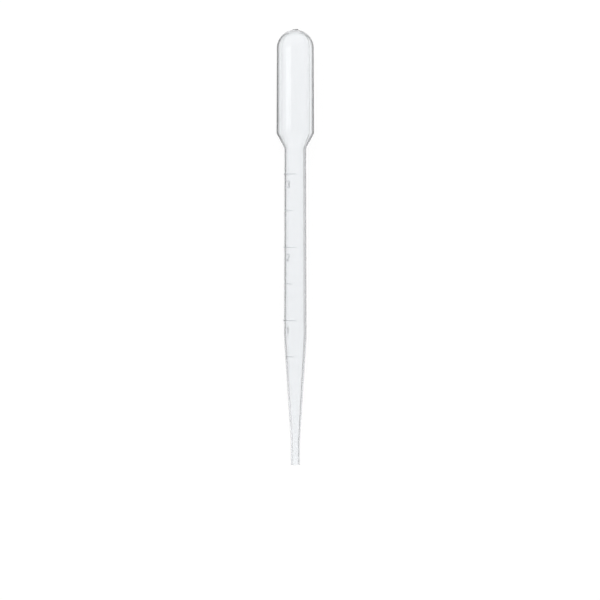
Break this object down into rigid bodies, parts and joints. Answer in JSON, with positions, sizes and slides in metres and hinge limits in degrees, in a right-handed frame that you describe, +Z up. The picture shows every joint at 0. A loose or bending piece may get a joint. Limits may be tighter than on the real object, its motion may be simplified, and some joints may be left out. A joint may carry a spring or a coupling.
{
  "type": "dropper pipette",
  "caption": "One-piece translucent squeeze pipette: round-ended bulb, graduated tube and long taper to a fine open tip, for moving small volumes of liquid.",
  "frame": {"origin": "under the middle of the pipette, on the table it lies on", "axes": "+Y along the pipette from its tip to its bulb, level with the table; +Z up, so the bulb end of the axis is about 2 degrees higher; +X across"},
  "size_m": [0.0134, 0.1552, 0.0142],
  "materials": {
    "polyethylene": "natural low-density polyethylene, milky and translucent, with a soft satin gloss"
  },
  "bodies": {
    "root": {"pipette": "polyethylene"}
  },
  "joints": []
}
